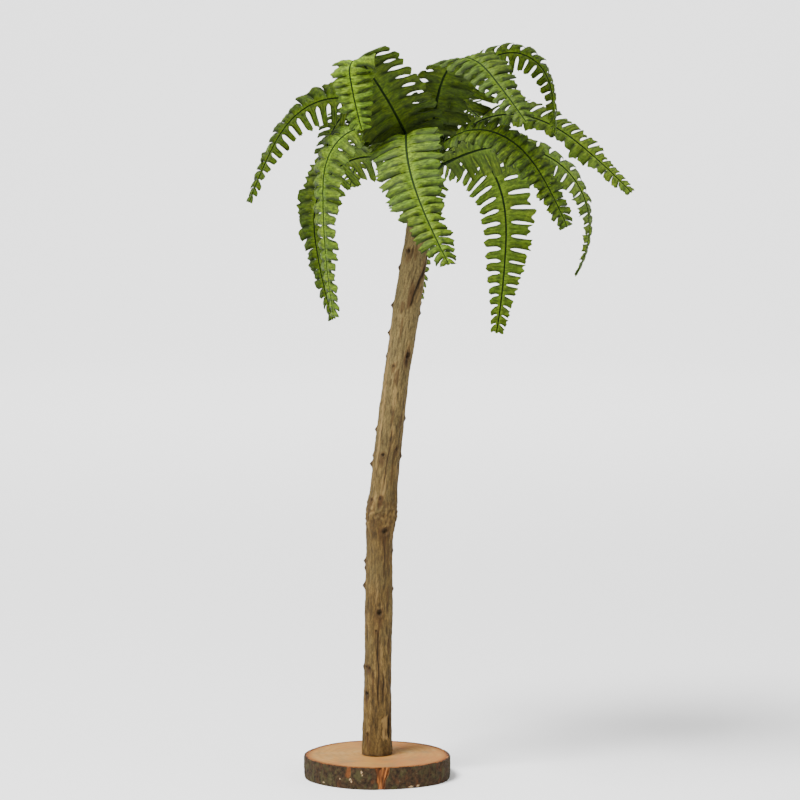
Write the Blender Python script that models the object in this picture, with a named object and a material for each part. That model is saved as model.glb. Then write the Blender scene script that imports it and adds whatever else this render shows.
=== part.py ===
"""A model palm: a branch for a trunk, on a slice of wood, with a crown of wired cloth fern leaves.

Metres, +Z up. The origin is on the flat underside of the slice, below the middle of the trunk's foot.
"""

import math
from dataclasses import dataclass

import bpy
import numpy as np
from mathutils.bvhtree import BVHTree

MM = 0.001

# Base slice
SLICE_RADIUS = 34.2 * MM
SLICE_THICKNESS = 10.5 * MM
SLICE_CORNERS = 48
SLICE_WAVES = ((2, 0.7 * MM, 20), (3, 0.5 * MM, 75), (5, 0.35 * MM, 140))
BARK_BULGE = 0.5 * MM
NOTCH_ANGLE = 276
NOTCH_HALF_WIDTH = 5.5
NOTCH_DEPTH = 2.4 * MM

# Trunk
TRUNK_FOOT = SLICE_THICKNESS + 0.3 * MM
TRUNK_TOP = 285 * MM
TRUNK_SIDES = 16
TRUNK_RINGS = 24
FOOT_RADIUS = 6.9 * MM
WAIST_RADIUS = 6.35 * MM
TOP_RADIUS = 6.2 * MM
FOOT_FLARE = 16 * MM
SWELLING_HEIGHT = 127 * MM
SWELLING_SPREAD = 9 * MM
SWELLING_OUT = 1.5 * MM
RING_PULL = 10.8 * MM
RING_PULL_REACH = 36 * MM
FOOT_OFFSET = -0.4 * MM
LOWER_LEAN = 0.014
KINK_HEIGHT = 118 * MM
UPPER_LEAN = 0.093
UPPER_SWEEP = 0.235

# What every frond shares
SEAT_GAP = 0.3 * MM
INNER_SEAT = 2.8 * MM
OUTER_SEAT = 4.6 * MM
CROWN_OFFSET = -0.9 * MM
UPRIGHT_RUN = 9 * MM
TIP_SAG = 16
CURVE_STEPS = 140
LEAFLET_PAIRS = 21
LEAFLET_SHARE = 0.68
CLOSING_UP = 0.20
BLADE_START = 11 * MM
BLADE_HALF_WIDTH = 15.6 * MM
FULL_WIDTH_AT = 28 * MM
WIDEST_AT = 0.34
BAND_SHARE = 0.24
STALK_HALF_WIDTH = 0.75 * MM
STALK_THICKNESS = 1.4 * MM
RIB_THICKNESS = 1.35 * MM
BAND_THICKNESS = 0.95 * MM
LEAFLET_THICKNESS = 0.7 * MM
SPLIT_LEAD = 0.3 * MM
SPLIT_GAP = 0.35 * MM
LEAFLET_CLEARANCE = 0.3 * MM
TRIED_REACHES = (1.0, 0.85, 0.7, 0.55, 0.42, 0.3)


@dataclass
class Frond:
    """One wired leaf. Angles are in degrees, with 0 to the right, 90 to the back and 270 to the front."""

    name: str
    seat: float
    heading: float
    sweep: float
    rise: float
    droop: float
    bend: float
    span: float
    length: float
    roll: float = 0
    tip_roll: float = 0
    cup: float = 0.15
    bare: float = 11
    width: float = 1.0


FRONDS = (
    Frond("front", OUTER_SEAT, 242, 78, 40, -41, 0.30, 0.20, 116, 10, 18, 0.14, 11, 1.06),
    Frond("high_left", INNER_SEAT, 243, -29, 50, -93, 0.70, 0.15, 111, 50, -34, 0.09, 13, 1.12),
    Frond("high_right", INNER_SEAT, 287, 32, 69, -32, 0.54, 0.49, 124, -28, 31, 0.20, 11, 1.01),
    Frond("front_right", OUTER_SEAT, 308, 53, 72, -51, 0.34, 0.94, 107, 22, 42, 0.08, 11, 0.95),
    Frond("front_left", OUTER_SEAT, 197, -6, 78, -85, 0.28, 0.62, 138, -30, -14, 0.19, 17, 1.03),
    Frond("left", INNER_SEAT, 173, 14, 63, -54, 0.45, 0.73, 128, 48, 24, 0.33, 14, 1.14),
    Frond("top_right", INNER_SEAT, 13, -13, 66, -73, 0.63, 0.54, 125, -41, -16, 0.44, 13, 1.06),
    Frond("right", OUTER_SEAT, 352, -1, 31, -116, 0.59, 1.24, 126, -46, -8, 0.25, 11, 0.97),
    Frond("back_right", OUTER_SEAT, 62, -27, 23, -86, 0.39, 0.68, 147, -50, -60, 0.15, 13, 1.02),
    Frond("back_left", OUTER_SEAT, 150, 26, 22, -91, 0.38, 0.69, 125, 34, 24, 0.21, 11, 1.03),
    Frond("far_right", OUTER_SEAT, 37, -31, 59, -30, 0.36, 0.84, 132, -36, -33, 0.15, 15, 0.85),
    Frond("back_high_right", INNER_SEAT, 73, -13, 66, -8, 0.50, 0.40, 90, -20, -26, 0.20, 13, 1.05),
    Frond("back", OUTER_SEAT, 96, -29, 20, -86, 0.34, 0.54, 103, 2, 34, 0.14, 11, 0.95),
    Frond("back_high_left", INNER_SEAT, 133, 14, 57, -66, 0.50, 0.70, 114, 0, 6, 0.25, 14),
    Frond("back_low_left", OUTER_SEAT, 121, -12, 38, -38, 0.50, 0.60, 104, cup=0.20, bare=13),
)


def clear_scene():
    for obj in list(bpy.data.objects):
        bpy.data.objects.remove(obj, do_unlink=True)


def plain_material(name, color, roughness):
    material = bpy.data.materials.new(name)
    material.use_nodes = True
    shader = material.node_tree.nodes["Principled BSDF"]
    shader.inputs["Base Color"].default_value = (*color, 1.0)
    shader.inputs["Roughness"].default_value = roughness
    return material


def add_object(name, points, faces, material):
    mesh = bpy.data.meshes.new(name)
    mesh.from_pydata([tuple(map(float, p)) for p in points], [], faces)
    mesh.materials.append(material)
    mesh.update()
    obj = bpy.data.objects.new(name, mesh)
    bpy.context.scene.collection.objects.link(obj)
    return obj


def smooth(x):
    x = np.clip(x, 0.0, 1.0)
    return x * x * (3 - 2 * x)


# ---------------------------------------------------------------- base slice


def slice_outline(angle):
    """The bark's radius at an angle in degrees, without the bulge or the notch."""
    radius = SLICE_RADIUS
    for waves, height, phase in SLICE_WAVES:
        radius += height * math.cos(math.radians(waves * angle + phase))
    return radius


def notch(angle, openness):
    away = abs((angle - NOTCH_ANGLE + 180) % 360 - 180)
    reach = NOTCH_HALF_WIDTH * openness
    if away >= reach:
        return 0.0
    return NOTCH_DEPTH * openness * (1 - away / reach)


def ring_faces(rings, sides):
    """Quads between stacked rings, with a fan-free cap at each end."""
    faces = []
    for level in range(rings - 1):
        for i in range(sides):
            j = (i + 1) % sides
            low, high = level * sides, (level + 1) * sides
            faces.append((low + i, low + j, high + j, high + i))
    faces.append(tuple(reversed(range(sides))))
    faces.append(tuple(range((rings - 1) * sides, rings * sides)))
    return faces


def build_slice(material):
    levels = ((0.0, -0.7, 0.0), (0.07, 0.0, 0.15), (0.5, 1.0, 0.6), (0.93, 0.2, 0.95), (1.0, -0.5, 1.0))
    angles = [i * 360 / SLICE_CORNERS for i in range(SLICE_CORNERS)]
    nearest = round(NOTCH_ANGLE * SLICE_CORNERS / 360)
    angles[nearest] = NOTCH_ANGLE
    points = []
    for share, bulge, openness in levels:
        for angle in angles:
            radius = slice_outline(angle) + bulge * BARK_BULGE - notch(angle, openness)
            turn = math.radians(angle)
            points.append((radius * math.cos(turn), radius * math.sin(turn), share * SLICE_THICKNESS))
    return add_object("base_slice", points, ring_faces(len(levels), SLICE_CORNERS), material)


# --------------------------------------------------------------------- trunk


def trunk_centre(height):
    """How far the trunk's middle stands to the right at a height."""
    above = max(height - KINK_HEIGHT, 0.0)
    below = min(height, KINK_HEIGHT) - TRUNK_FOOT
    return FOOT_OFFSET + LOWER_LEAN * below + UPPER_LEAN * above + UPPER_SWEEP * above * above


def trunk_radius(height):
    share = (height - TRUNK_FOOT) / (TRUNK_TOP - TRUNK_FOOT)
    radius = WAIST_RADIUS + (TOP_RADIUS - WAIST_RADIUS) * share
    radius += (FOOT_RADIUS - WAIST_RADIUS) * math.exp(-(height - TRUNK_FOOT) / FOOT_FLARE)
    radius += SWELLING_OUT * math.exp(-(((height - SWELLING_HEIGHT) / SWELLING_SPREAD) ** 2))
    return radius


def unevenness(turn, height):
    """What the trunk's radius is multiplied by, so that it isn't quite round."""
    return 1 + 0.03 * math.sin(2 * turn + 90 * height) + 0.02 * math.sin(3 * turn - 40 * height)


def trunk_heights():
    """Ring heights, closer together at the swelling."""
    even = np.linspace(TRUNK_FOOT, TRUNK_TOP, TRUNK_RINGS)
    away = (even - SWELLING_HEIGHT) / RING_PULL_REACH
    return even - RING_PULL * away * np.exp(-away * away)


def build_trunk(material):
    points = []
    heights = trunk_heights()
    for height in heights:
        centre = trunk_centre(height)
        radius = trunk_radius(height)
        for i in range(TRUNK_SIDES):
            turn = 2 * math.pi * i / TRUNK_SIDES
            reach = radius * unevenness(turn, height)
            points.append((centre + reach * math.cos(turn), reach * math.sin(turn), height))
    return add_object("trunk", points, ring_faces(len(heights), TRUNK_SIDES), material)


# -------------------------------------------------------------------- fronds


class Rib:
    """The curve of one frond's rib, with the blade's side and upper direction at each distance along it."""

    def __init__(self, frond):
        self.length = frond.length * MM
        self.bare = frond.bare * MM
        self.width = frond.width
        self.cup = frond.cup
        s = np.linspace(0, 1, CURVE_STEPS)
        self.at = s * self.length
        heading = np.radians(frond.heading + frond.sweep * s)
        climb = frond.rise + (frond.droop - frond.rise) * smooth((s - frond.bend) / frond.span + 0.5)
        climb -= TIP_SAG * s * s
        climb = np.radians(climb + (90 - climb) * (1 - smooth(self.at / UPRIGHT_RUN)))
        level = np.stack([np.cos(heading), np.sin(heading), 0 * s], 1)
        along = level * np.cos(climb)[:, None] + np.array([0, 0, 1.0]) * np.sin(climb)[:, None]
        steps = (along[1:] + along[:-1]) / 2 * self.length / (CURVE_STEPS - 1)
        turn = math.radians(frond.heading)
        seat = np.array([math.cos(turn) * frond.seat, math.sin(turn) * frond.seat, 0])
        seat += np.array([trunk_centre(TRUNK_TOP) + CROWN_OFFSET, 0, TRUNK_TOP + SEAT_GAP])
        self.points = seat + np.concatenate([np.zeros((1, 3)), np.cumsum(steps, axis=0)])
        flat_side = np.stack([-np.sin(heading), np.cos(heading), 0 * s], 1)
        flat_up = np.cross(along, flat_side)
        change = smooth((s - frond.bend) / frond.span + 0.5)
        roll = np.radians(frond.roll + (frond.tip_roll - frond.roll) * change)
        roll *= smooth(self.at / (1.2 * UPRIGHT_RUN))
        self.side = flat_side * np.cos(roll)[:, None] + flat_up * np.sin(roll)[:, None]
        self.up = flat_up * np.cos(roll)[:, None] - flat_side * np.sin(roll)[:, None]

    def sample(self, rows, distance):
        return np.array([np.interp(distance, self.at, rows[:, i]) for i in range(3)])

    def half_width(self, distance):
        """Half the blade's width at a distance along the rib."""
        share = (distance - BLADE_START) / (self.length - BLADE_START)
        opening = min(0.16 + 0.84 * distance / FULL_WIDTH_AT, 1.0)
        closing = 1 - 0.78 * float(np.clip((share - WIDEST_AT) / (1 - WIDEST_AT), 0, 1)) ** 1.4
        return BLADE_HALF_WIDTH * self.width * opening * closing

    def taper(self, distance):
        return 1 - 0.35 * max(distance - self.bare, 0) / (self.length - self.bare)

    def leaflet_spans(self):
        """(start, end, next start) of each leaflet pair along the rib; they close up towards the tip."""
        share = np.arange(LEAFLET_PAIRS + 1) / LEAFLET_PAIRS
        starts = self.bare + (self.length - self.bare) * (share + CLOSING_UP * (share - share**3))
        return [(a, a + (b - a) * LEAFLET_SHARE, b) for a, b in zip(starts[:-1], starts[1:])]

    def band(self, distance):
        return max(BAND_SHARE * self.half_width(distance), 1.05 * STALK_HALF_WIDTH)


class Sheet:
    """A sheet of faces along a rib, given a thickness at each point."""

    def __init__(self, rib):
        self.rib = rib
        self.upper = []
        self.lower = []
        self.faces = []

    def point(self, distance, across, thickness, reach):
        distance = min(max(distance, 0.0), self.rib.length)
        side = self.rib.sample(self.rib.side, distance)
        up = self.rib.sample(self.rib.up, distance)
        middle = self.rib.sample(self.rib.points, distance) + side * across
        cup = self.rib.cup * (1 - 0.7 * distance / self.rib.length)
        middle = middle - up * (cup * across * across / max(reach, 2 * MM))
        self.upper.append(middle + up * thickness / 2)
        self.lower.append(middle - up * thickness / 2)
        return len(self.upper) - 1

    def row(self, distance, half, rib_thickness, edge_thickness):
        reach = self.rib.half_width(distance)
        left = self.point(distance, half, edge_thickness, reach)
        middle = self.point(distance, 0.0, rib_thickness, reach)
        right = self.point(distance, -half, edge_thickness, reach)
        return (left, middle, right)

    def stalk_row(self, distance):
        return self.row(distance, STALK_HALF_WIDTH, STALK_THICKNESS, 0.9 * STALK_THICKNESS)

    def band_row(self, distance):
        taper = self.rib.taper(distance)
        return self.row(distance, self.rib.band(distance), RIB_THICKNESS * taper, BAND_THICKNESS * taper)

    def join(self, first, second):
        self.faces.append((first[1], second[1], second[0], first[0]))
        self.faces.append((first[2], second[2], second[1], first[1]))

    def leaflet(self, start, end, sign, reach, roots=None, grow=0.0):
        """One strap-shaped leaflet on the band's edge, or by itself where no roots are given."""
        middle = (start + end) / 2
        half = self.rib.half_width(middle)
        thick = LEAFLET_THICKNESS + grow
        if roots is None:
            edge = sign * self.rib.band(middle)
            roots = [self.point(d, edge, thick, half) for d in (start - grow / 2, end + grow / 2)]
        lead = 0.08 * half * reach
        shoulder = sign * (BAND_SHARE + (0.8 - BAND_SHARE) * reach) * half
        tip = sign * ((BAND_SHARE + (1.0 - BAND_SHARE) * reach) * half + grow)
        near = self.point(start + lead - grow / 2, shoulder, thick, half)
        point = self.point(middle + 1.6 * lead, tip, thick * 0.9, half)
        far = self.point(end + lead + grow / 2, shoulder, thick, half)
        triangles = [(roots[0], roots[1], far), (roots[0], far, near), (near, far, point)]
        self.faces += triangles if sign > 0 else [t[::-1] for t in triangles]

    def solid(self):
        count = len(self.upper)
        faces = list(self.faces)
        faces += [tuple(i + count for i in reversed(face)) for face in self.faces]
        edges = {(a, b) for face in self.faces for a, b in zip(face, face[1:] + face[:1])}
        faces += [(b, a, a + count, b + count) for a, b in sorted(edges) if (b, a) not in edges]
        return self.upper + self.lower, faces


def surface_tree(solids):
    points = []
    faces = []
    for more_points, more_faces in solids:
        faces += [tuple(i + len(points) for i in face) for face in more_faces]
        points += [tuple(map(float, p)) for p in more_points]
    return BVHTree.FromPolygons(points, faces)


def rib_solid(rib):
    """The stalk and the band alone, which no leaflet of another frond may touch."""
    sheet = Sheet(rib)
    rows = [sheet.stalk_row(d) for d in np.linspace(0, rib.bare - 1 * MM, 5)]
    for start, end, _ in rib.leaflet_spans():
        rows += [sheet.band_row(start), sheet.band_row(end)]
    for first, second in zip(rows, rows[1:]):
        sheet.join(first, second)
    return sheet.solid()


def lone_leaflet(rib, start, end, sign, reach, grow):
    sheet = Sheet(rib)
    sheet.leaflet(start, end, sign, reach, grow=grow)
    return sheet.solid()


def trimmed_reaches(ribs):
    """For each frond, how far each leaflet may reach before it would touch a neighbouring frond."""
    rib_solids = [rib_solid(rib) for rib in ribs]
    placed = []
    reaches = []
    for own, rib in enumerate(ribs):
        others = [solid for i, solid in enumerate(rib_solids) if i != own]
        tree = surface_tree(others + placed)
        mine = []
        found = {}
        for pair, (start, end, _) in enumerate(rib.leaflet_spans()):
            for sign in (1, -1):
                found[pair, sign] = 0.0
                for reach in TRIED_REACHES:
                    grown = lone_leaflet(rib, start, end, sign, reach, 2 * LEAFLET_CLEARANCE)
                    if not tree.overlap(surface_tree([grown])):
                        found[pair, sign] = reach
                        mine.append(lone_leaflet(rib, start, end, sign, reach, 0.0))
                        break
        placed += mine
        reaches.append(found)
    return reaches


def split_pair(frond, rib):
    """The leaflet pair with which the drooping half starts."""
    crest = frond.bend * rib.length
    starts = [start for start, _, _ in rib.leaflet_spans()]
    return min(range(3, LEAFLET_PAIRS - 4), key=lambda i: abs(starts[i] - crest))


def add_pairs(sheet, last_row, pairs, reaches):
    """The band and its leaflets over a run of pairs, joined on to the row before them."""
    spans = sheet.rib.leaflet_spans()
    for pair in pairs:
        start, end, _ = spans[pair]
        first = sheet.band_row(start)
        second = sheet.band_row(end)
        sheet.join(last_row, first)
        sheet.join(first, second)
        for sign, column in ((1, 0), (-1, 2)):
            reach = reaches[pair, sign]
            if reach > 0:
                sheet.leaflet(start, end, sign, reach, (first[column], second[column]))
        last_row = second
    return last_row


def inner_half(rib, split, reaches):
    sheet = Sheet(rib)
    rows = [sheet.stalk_row(d) for d in np.linspace(0, rib.bare - 1.5 * MM, 4)]
    for first, second in zip(rows, rows[1:]):
        sheet.join(first, second)
    last = add_pairs(sheet, rows[-1], range(split), reaches)
    sheet.join(last, sheet.band_row(rib.leaflet_spans()[split][0] - SPLIT_LEAD - SPLIT_GAP))
    return sheet.solid()


def outer_half(rib, split, reaches):
    sheet = Sheet(rib)
    first = sheet.band_row(rib.leaflet_spans()[split][0] - SPLIT_LEAD)
    last = add_pairs(sheet, first, range(split, LEAFLET_PAIRS), reaches)
    taper = rib.taper(rib.length)
    sheet.join(last, sheet.row(rib.length, 0.5 * MM, RIB_THICKNESS * taper, LEAFLET_THICKNESS * taper))
    return sheet.solid()


def build_fronds(material):
    ribs = [Rib(frond) for frond in FRONDS]
    for frond, rib, reaches in zip(FRONDS, ribs, trimmed_reaches(ribs)):
        split = split_pair(frond, rib)
        add_object(f"frond_{frond.name}_inner", *inner_half(rib, split, reaches), material)
        add_object(f"frond_{frond.name}_outer", *outer_half(rib, split, reaches), material)


def main():
    clear_scene()
    build_slice(plain_material("slice_wood", (0.46, 0.33, 0.21), 0.75))
    build_trunk(plain_material("branch_bark", (0.19, 0.13, 0.06), 0.85))
    build_fronds(plain_material("leaf_cloth", (0.13, 0.22, 0.03), 0.7))


main()
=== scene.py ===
"""The looks of a model palm: a branch for a trunk, on a slice of wood, with wired cloth fern fronds.

Metres, +Z up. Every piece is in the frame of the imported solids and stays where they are.
"""

import math
import random
from dataclasses import dataclass, replace

import bpy
import numpy as np
from bpy.props import FloatProperty, FloatVectorProperty, IntProperty, PointerProperty
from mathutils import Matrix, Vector, noise
from mathutils.bvhtree import BVHTree


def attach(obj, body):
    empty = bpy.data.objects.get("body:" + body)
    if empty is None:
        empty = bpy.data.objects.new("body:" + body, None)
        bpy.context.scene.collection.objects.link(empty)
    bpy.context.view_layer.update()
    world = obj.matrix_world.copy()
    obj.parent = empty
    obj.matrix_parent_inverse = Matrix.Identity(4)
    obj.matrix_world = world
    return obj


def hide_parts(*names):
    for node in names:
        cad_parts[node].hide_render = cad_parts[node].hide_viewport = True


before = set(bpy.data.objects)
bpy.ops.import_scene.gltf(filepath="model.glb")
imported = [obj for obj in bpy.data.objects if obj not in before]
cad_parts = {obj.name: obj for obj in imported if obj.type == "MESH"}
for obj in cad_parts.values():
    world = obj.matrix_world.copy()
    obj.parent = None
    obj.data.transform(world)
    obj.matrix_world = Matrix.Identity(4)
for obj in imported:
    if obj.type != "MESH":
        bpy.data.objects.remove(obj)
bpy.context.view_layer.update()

bl_info = {
    "name": "Model palm",
    "version": (1, 0, 0),
    "blender": (4, 5, 0),
    "location": "3D View > Sidebar > Model palm",
    "description": "Adds a decorative palm of branch wood and wired cloth fronds",
    "category": "Add Mesh",
}

MM = 0.001

# Base slice, as in the solids
SLICE_RADIUS = 34.2 * MM
SLICE_THICKNESS = 10.5 * MM
SLICE_WAVES = ((2, 0.7 * MM, 20), (3, 0.5 * MM, 75), (5, 0.35 * MM, 140))

# Marks in the slice's bark: each has its direction and half its width, in degrees
SPLIT_AT_TOP = (275.0, 6.2)
SPLIT_AT_BOTTOM = (273.2, 2.4)
NICK = (246.8, 2.1)
# (direction, lean) in degrees of the torn fibres in the split
SPLIT_FIBRES = ((270.6, 1.2), (274.6, 1.6), (278.6, 4.2))

# Trunk, as in the solids
TRUNK_FOOT = SLICE_THICKNESS + 0.3 * MM
TRUNK_TOP = 285 * MM
FOOT_RADIUS = 6.9 * MM
WAIST_RADIUS = 6.35 * MM
TOP_RADIUS = 6.2 * MM
FOOT_FLARE = 16 * MM
SWELLING_HEIGHT = 127 * MM
SWELLING_SPREAD = 9 * MM
SWELLING_OUT = 1.5 * MM
FOOT_OFFSET = -0.4 * MM
LOWER_LEAN = 0.014
KINK_HEIGHT = 118 * MM
UPPER_LEAN = 0.093
UPPER_SWEEP = 0.235

# Fronds, as in the solids
SEAT_GAP = 0.3 * MM
INNER_SEAT = 2.8 * MM
OUTER_SEAT = 4.6 * MM
CROWN_OFFSET = -0.9 * MM
UPRIGHT_RUN = 9 * MM
TIP_SAG = 16
CURVE_STEPS = 140
LEAFLET_PAIRS = 21
LEAFLET_SHARE = 0.68
CLOSING_UP = 0.20
BLADE_START = 11 * MM
BLADE_HALF_WIDTH = 15.6 * MM
FULL_WIDTH_AT = 28 * MM
WIDEST_AT = 0.34
BAND_SHARE = 0.24
LEAFLET_LEAD = 0.08
END_LEAD = 1.6
SHOULDER_AT = 0.8
STALK_HALF_WIDTH = 0.75 * MM
TRIED_REACHES = (1.0, 0.85, 0.7, 0.55, 0.42, 0.3)

# Thickness of the plain shapes that leaflets are tested against each other with
RIB_CLEARANCE = 1.3 * MM
LEAFLET_CLEARANCE = 1.2 * MM
PLACED_LEAFLET = 0.35 * MM

# The finer leaflets: where their points lie across them, and how many rows run out and crowd to the end
ACROSS = (-1.0, -0.94, -0.78, -0.55, -0.3, -0.13, 0.0, 0.13, 0.3, 0.55, 0.78, 0.94, 1.0)
LEAFLET_ROWS = 12
ROW_CROWDING = 1.3
BAND_COLUMNS = 6
SHORTEST_RUN = 0.3 * MM
SAME_PLACE = 0.002 * MM
FULL_RELIEF_AT = 9 * MM

# Painted shade darkening the cloth near the crown, paler cloth beside the rib, and how far a stem runs down
# into the trunk
CROWN_SHADE_RUN = 30 * MM
BESIDE_RIB = 1.8 * MM
STEM_SUNK = 1.6 * MM

# Each light's place, what it points at and its size
LIGHT_TARGET = (20 * MM, 0, 200 * MM)
MAIN_LIGHT = ((-0.7, -0.7, 1.8), LIGHT_TARGET, 0.8)
FILL_LIGHT = ((1.3, -0.7, 0.8), LIGHT_TARGET, 1.2)
FLOOR_LIGHT = ((0, 1.6, 2.2), (0, 4.2, 0.4), 1.6)

CAMERA_PLACE = (10.9 * MM, -1500 * MM, 316 * MM)
CAMERA_TARGET = (10.9 * MM, 0.0, 181 * MM)
CAMERA_LENS = 142.7

FLOOR_FLAT = 2.6
FLOOR_SWEEP = 1.6
FLOOR_WALL = 1.4
FLOOR_DROP = 0.02 * MM


@dataclass(frozen=True)
class LeafletForm:
    """The shape of a leaflet from its root, at step 0, to its end, at step 1.

    Widths are shares of the pitch between leaflets. Reach is a share of the blade's width, and turns to
    tip_reach past the share reach_from of the rib. Lead carries the end towards the rib's tip. The others
    say how rounded the end is, how strongly the leaflet is puffed, grooved and ruffled, and how long the
    nib is at its end's lower corner.
    """

    steps: tuple
    widths: tuple
    roundness: float
    puff: float
    groove: float
    ruffle: float
    nib: float = 0.0
    reach: float = 1.0
    tip_reach: float = 1.0
    reach_from: float = 0.42
    lead: float = 0.10


FINGER = LeafletForm(
    (0, 0.08, 0.2, 0.5, 0.85, 1), (0.94, 0.84, 0.72, 0.72, 0.74, 0.68),
    roundness=0.95, puff=0.7, groove=0.9, ruffle=0.6,
)
SLIM = LeafletForm(
    (0, 0.06, 0.16, 0.5, 0.85, 1), (0.94, 0.78, 0.64, 0.62, 0.64, 0.58),
    roundness=0.95, puff=0.7, groove=0.9, ruffle=0.6,
)
CURLED = LeafletForm(
    (0, 0.3, 0.5, 0.72, 1), (1.0, 0.96, 0.60, 0.64, 0.88),
    roundness=1.0, puff=1.1, groove=0.6, ruffle=0.5, reach=1.12, tip_reach=1.12, lead=-0.08,
)
STRAP = LeafletForm(
    (0, 0.12, 0.3, 0.55, 0.85, 1), (0.94, 0.94, 0.82, 0.76, 0.78, 0.72),
    roundness=1.0, puff=1.3, groove=0.7, ruffle=0.7,
)
LOBE = LeafletForm(
    (0, 0.2, 0.5, 0.75, 1), (1.00, 1.08, 1.08, 1.02, 0.90),
    roundness=0.75, puff=1.6, groove=0.45, ruffle=1.4,
)
JAGGED = LeafletForm(
    (0, 0.08, 0.25, 0.6, 0.85, 1), (0.94, 0.88, 0.80, 0.80, 0.82, 0.86),
    roundness=0.15, puff=0.8, groove=0.8, ruffle=0.8, nib=0.13,
)
NUB = LeafletForm(
    (0, 0.3, 0.7, 1), (1.00, 1.04, 1.00, 0.94),
    roundness=0.6, puff=0.9, groove=0.8, ruffle=0.9, nib=0.14, reach=0.85, tip_reach=1.15,
)

# Brightness of the upper side and the underside, for each tint of cloth. The first two vary the tone; the
# last two are painted light and shade for high_left and high_right: their undersides painted darker as shade,
# high_left's upper side painted lighter and high_right's darker
CLOTH_TONE_AND_PAINTED_SHADE = ((0.86, 1.08), (1.0, 1.08), (1.28, 0.68), (0.68, 0.66))


@dataclass(frozen=True)
class Frond:
    """One wired leaf. Angles are in degrees, with 0 to the right, 90 to the back and 270 to the front.

    Its heading turns by sweep along its length. It rises at one angle and droops at another, changing over
    the share span of its length, round the share bend. Length and bare, the stem, are in millimetres.
    """

    name: str
    seat: float
    heading: float
    sweep: float
    rise: float
    droop: float
    bend: float
    span: float
    length: float
    roll: float = 0
    tip_roll: float = 0
    cup: float = 0.15
    bare: float = 11
    width: float = 1.0
    left: LeafletForm = FINGER
    right: LeafletForm = FINGER
    curl: float = 0.6
    # Which tint of cloth; tints 2 and 3 carry painted light and shade for the two high fronds
    tint: int = 0


FRONDS = (
    Frond("front", OUTER_SEAT, 242, 78, 40, -41, 0.30, 0.20, 116, 10, 18, 0.14, 11, 1.06,
          left=LOBE, right=replace(LOBE, tip_reach=1.12), tint=1),
    Frond("high_left", INNER_SEAT, 243, -29, 50, -93, 0.70, 0.15, 111, 50, -34, 0.09, 13, 1.12,
          left=CURLED, right=LOBE, curl=2.2, tint=2),
    Frond("high_right", INNER_SEAT, 287, 32, 69, -32, 0.54, 0.49, 124, -28, 31, 0.20, 11, 1.01,
          left=LOBE, right=replace(CURLED, lead=0.1, reach=0.72, tip_reach=1.0), tint=3),
    Frond("front_right", OUTER_SEAT, 308, 53, 72, -51, 0.34, 0.94, 107, 22, 42, 0.08, 11, 0.95,
          left=replace(LOBE, reach=0.5, tip_reach=1.05, reach_from=0.56),
          right=replace(LOBE, reach=0.55, tip_reach=1.0)),
    Frond("front_left", OUTER_SEAT, 197, -6, 78, -85, 0.28, 0.62, 138, -30, -14, 0.19, 17, 1.03,
          left=STRAP, right=STRAP, tint=1),
    Frond("left", INNER_SEAT, 173, 14, 63, -54, 0.45, 0.73, 128, 48, 24, 0.33, 14, 1.14,
          left=NUB, right=SLIM),
    Frond("top_right", INNER_SEAT, 13, -13, 66, -73, 0.63, 0.54, 125, -41, -16, 0.44, 13, 1.06,
          left=replace(FINGER, reach=1.16), right=replace(JAGGED, reach=1.1, tip_reach=1.1)),
    Frond("right", OUTER_SEAT, 352, -1, 31, -116, 0.59, 1.24, 126, -46, -8, 0.25, 11, 0.97,
          left=JAGGED, right=replace(JAGGED, tip_reach=1.3)),
    Frond("back_right", OUTER_SEAT, 62, -27, 23, -86, 0.39, 0.68, 147, -50, -60, 0.15, 13, 1.02,
          right=JAGGED),
    Frond("back_left", OUTER_SEAT, 150, 26, 22, -91, 0.38, 0.69, 125, 34, 24, 0.21, 11, 1.03,
          left=replace(NUB, reach=1.0, tip_reach=1.05)),
    Frond("far_right", OUTER_SEAT, 37, -31, 59, -30, 0.36, 0.84, 132, -36, -33, 0.15, 15, 0.85,
          left=replace(LOBE, puff=1.4, reach=0.62, tip_reach=1.1, reach_from=0.62),
          right=replace(JAGGED, reach=1.15, tip_reach=1.1)),
    Frond("back_high_right", INNER_SEAT, 73, -13, 66, -8, 0.50, 0.40, 90, -20, -26, 0.20, 13, 1.05),
    Frond("back", OUTER_SEAT, 96, -29, 20, -86, 0.34, 0.54, 103, 2, 34, 0.14, 11, 0.95),
    Frond("back_high_left", INNER_SEAT, 133, 14, 57, -66, 0.50, 0.70, 114, 0, 6, 0.25, 14),
    Frond("back_low_left", OUTER_SEAT, 121, -12, 38, -38, 0.50, 0.60, 104, cup=0.20, bare=13),
)


def screen(red, green, blue):
    """A colour given as it looks on a screen, from 0 to 255, as the values that shaders take."""
    parts = []
    for value in (red, green, blue):
        share = value / 255
        parts.append(share / 12.92 if share <= 0.04045 else ((share + 0.055) / 1.055) ** 2.4)
    return tuple(parts)


# ------------------------------------------------------------------- settings


def color_property(name, description, default):
    return FloatVectorProperty(
        name=name, description=description, default=default, size=3, min=0, max=1, subtype="COLOR"
    )


def length_property(name, description, default, low, high):
    """A length, given in millimetres."""
    return FloatProperty(
        name=name, description=description, default=default * MM, min=low * MM, max=high * MM, unit="LENGTH"
    )


def power_property(name, description, default):
    return FloatProperty(name=name, description=description, default=default, min=0, unit="POWER")


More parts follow.
